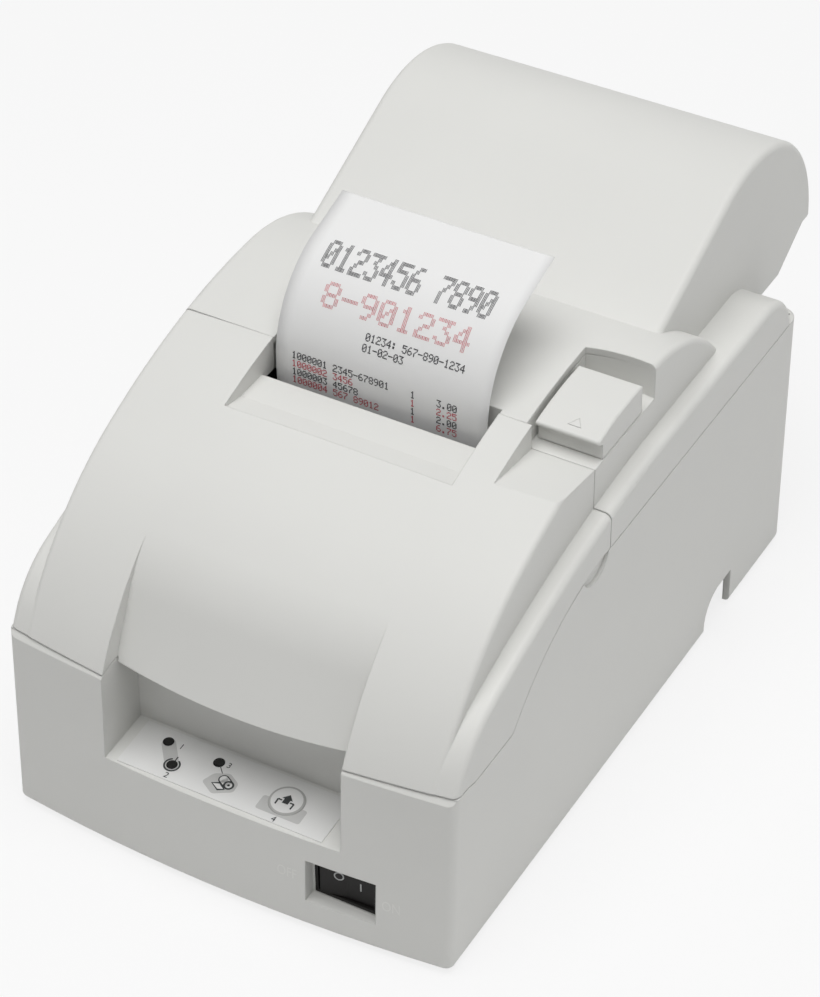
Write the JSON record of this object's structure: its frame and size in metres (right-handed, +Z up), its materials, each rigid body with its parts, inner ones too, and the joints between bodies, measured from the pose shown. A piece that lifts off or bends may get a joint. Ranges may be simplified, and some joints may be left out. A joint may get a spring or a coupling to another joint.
{
  "type": "receipt printer",
  "caption": "Desktop impact receipt printer with bowed front, hinged front and rear covers, journal take-up hump, front panel, power rocker and a receipt standing in its paper slot.",
  "frame": {"origin": "on the floor under the middle of the bounding box", "axes": "+X to the right seen from the front, the front looks along -Y, +Z up"},
  "size_m": [0.16, 0.2879, 0.1684],
  "materials": {
    "case_plastic": "fine moulded grain, warm light grey",
    "inner_plastic": "dark moulded plastic",
    "switch_plastic": "black, half gloss",
    "label_film": "white film",
    "lamp_lens": "dark lens, unlit",
    "receipt_stock": "plain white paper",
    "core_board": "raw board",
    "steel": "plated",
    "motor_can": "matt can",
    "head_metal": "finned, matt",
    "circuit_board": "green board",
    "socket_plastic": "black moulded",
    "rubber": "matt",
    "ribbon_cloth": "inked cloth"
  },
  "bodies": {
    "printer": {"lower_case": "case_plastic", "rear_hinge_housing": "case_plastic", "setting_switch_cover": "case_plastic", "paper_tray": "inner_plastic", "ribbon_cassette": "inner_plastic", "platen": "inner_plastic", "power_switch_housing": "switch_plastic", "panel_label": "label_film", "status_lamps": "lamp_lens", "paper_web": "receipt_stock", "front_hinge_pins": "steel", "rear_hinge_pin": "steel", "mech_base": "steel", "mech_frame_left": "steel", "mech_frame_right": "steel", "mech_screws": "steel", "latch_catch": "steel", "carriage_shaft": "steel", "carriage_rail": "steel", "idler_post": "steel", "fixed_blade": "steel", "cutter_frame": "steel", "spool_brackets": "steel", "interface_plate": "steel", "interface_screws": "steel", "carriage_motor": "motor_can", "feed_motor": "motor_can", "cutter_motor": "motor_can", "take_up_motor": "motor_can", "main_board": "circuit_board", "panel_board": "circuit_board", "data_socket": "socket_plastic", "drawer_socket": "socket_plastic", "power_inlet": "socket_plastic", "rubber_feet": "rubber", "carriage_belt": "rubber", "ribbon": "ribbon_cloth"},
    "front_cover": {"front_cover": "case_plastic"},
    "rear_cover": {"rear_cover": "case_plastic", "receipt_paper": "receipt_stock"},
    "cover_button": {"cover_open_button": "case_plastic"},
    "feed_button": {"feed_button": "case_plastic"},
    "rocker": {"power_rocker": "switch_plastic"},
    "carriage": {"carriage": "inner_plastic", "print_head": "head_metal"},
    "drive_pulley": {"drive_pulley": "inner_plastic"},
    "idler_pulley": {"idler_pulley": "inner_plastic"},
    "ribbon_knob": {"ribbon_knob": "inner_plastic"},
    "feed_roller": {"feed_shaft": "steel", "feed_rollers": "rubber", "feed_gear": "inner_plastic"},
    "pinch_roller": {"pinch_rollers": "rubber"},
    "feed_pinion": {"feed_pinion": "inner_plastic"},
    "moving_blade": {"moving_blade": "steel"},
    "spool": {"take_up_spool": "inner_plastic", "take_up_gear": "inner_plastic"},
    "take_up_pinion": {"take_up_pinion": "inner_plastic"},
    "paper_roll": {"paper_roll": "receipt_stock", "roll_core": "core_board"}
  },
  "joints": [
    {"name": "front_cover_hinge", "type": "hinge", "parent": "printer", "child": "front_cover", "pos_m": [0, -0.1316, 0.052], "axis": [1, 0, 0], "range_deg": [0, 75]},
    {"name": "rear_cover_hinge", "type": "hinge", "parent": "printer", "child": "rear_cover", "pos_m": [0, 0.123, 0.102], "axis": [-1, 0, 0], "range_deg": [0, 85]},
    {"name": "cover_button_slide", "type": "slide", "parent": "rear_cover", "child": "cover_button", "axis": [0, 1, 0], "range_m": [0, 0.006], "stiffness_N_per_m": 250},
    {"name": "feed_button_press", "type": "slide", "parent": "printer", "child": "feed_button", "axis": [0, 0.0767, -0.9971], "range_m": [0, 0.0008], "stiffness_N_per_m": 400},
    {"name": "power_rocker_tilt", "type": "hinge", "parent": "printer", "child": "rocker", "pos_m": [0.04275, -0.1349, 0.02085], "axis": [0, 0, -1], "range_deg": [0, 12]},
    {"name": "carriage_slide", "type": "slide", "parent": "printer", "child": "carriage", "axis": [1, 0, 0], "range_m": [-0.031, 0.031]},
    {"name": "drive_pulley_turn", "type": "hinge", "parent": "printer", "child": "drive_pulley", "pos_m": [-0.046, -0.0725, 0.076], "axis": [0, 0, 1], "range_deg": [-330, 330]},
    {"name": "idler_pulley_turn", "type": "hinge", "parent": "printer", "child": "idler_pulley", "pos_m": [0.046, -0.0725, 0.076], "axis": [0, 0, 1], "range_deg": [-330, 330]},
    {"name": "ribbon_knob_turn", "type": "hinge", "parent": "printer", "child": "ribbon_knob", "pos_m": [0.04, -0.0985, 0.098], "axis": [0, 0, 1], "continuous": true},
    {"name": "feed_roller_turn", "type": "hinge", "parent": "printer", "child": "feed_roller", "pos_m": [0, -0.0341, 0.084], "axis": [1, 0, 0], "continuous": true},
    {"name": "pinch_roller_turn", "type": "hinge", "parent": "printer", "child": "pinch_roller", "pos_m": [0, -0.0455, 0.084], "axis": [1, 0, 0], "continuous": true},
    {"name": "feed_pinion_turn", "type": "hinge", "parent": "printer", "child": "feed_pinion", "pos_m": [0.064, -0.02208, 0.07198], "axis": [1, 0, 0], "continuous": true},
    {"name": "moving_blade_slide", "type": "slide", "parent": "printer", "child": "moving_blade", "axis": [0, -1, 0], "range_m": [0, 0.005]},
    {"name": "spool_turn", "type": "hinge", "parent": "printer", "child": "spool", "pos_m": [0, 0.091, 0.122], "axis": [1, 0, 0], "continuous": true},
    {"name": "take_up_pinion_turn", "type": "hinge", "parent": "printer", "child": "take_up_pinion", "pos_m": [0.045, 0.07615, 0.10715], "axis": [1, 0, 0], "continuous": true},
    {"name": "paper_roll_turn", "type": "hinge", "parent": "printer", "child": "paper_roll", "pos_m": [0, 0.0422, 0.086], "axis": [1, 0, 0], "continuous": true}
  ],
  "couplings": [
    {"joint": "pinch_roller_turn", "follows": "feed_roller_turn", "ratio": -1.12},
    {"joint": "feed_pinion_turn", "follows": "feed_roller_turn", "ratio": -2.4},
    {"joint": "drive_pulley_turn", "follows": "carriage_slide", "rad_per_m": 178.57},
    {"joint": "idler_pulley_turn", "follows": "carriage_slide", "rad_per_m": 178.57},
    {"joint": "take_up_pinion_turn", "follows": "spool_turn", "ratio": -3.2}
  ]
}
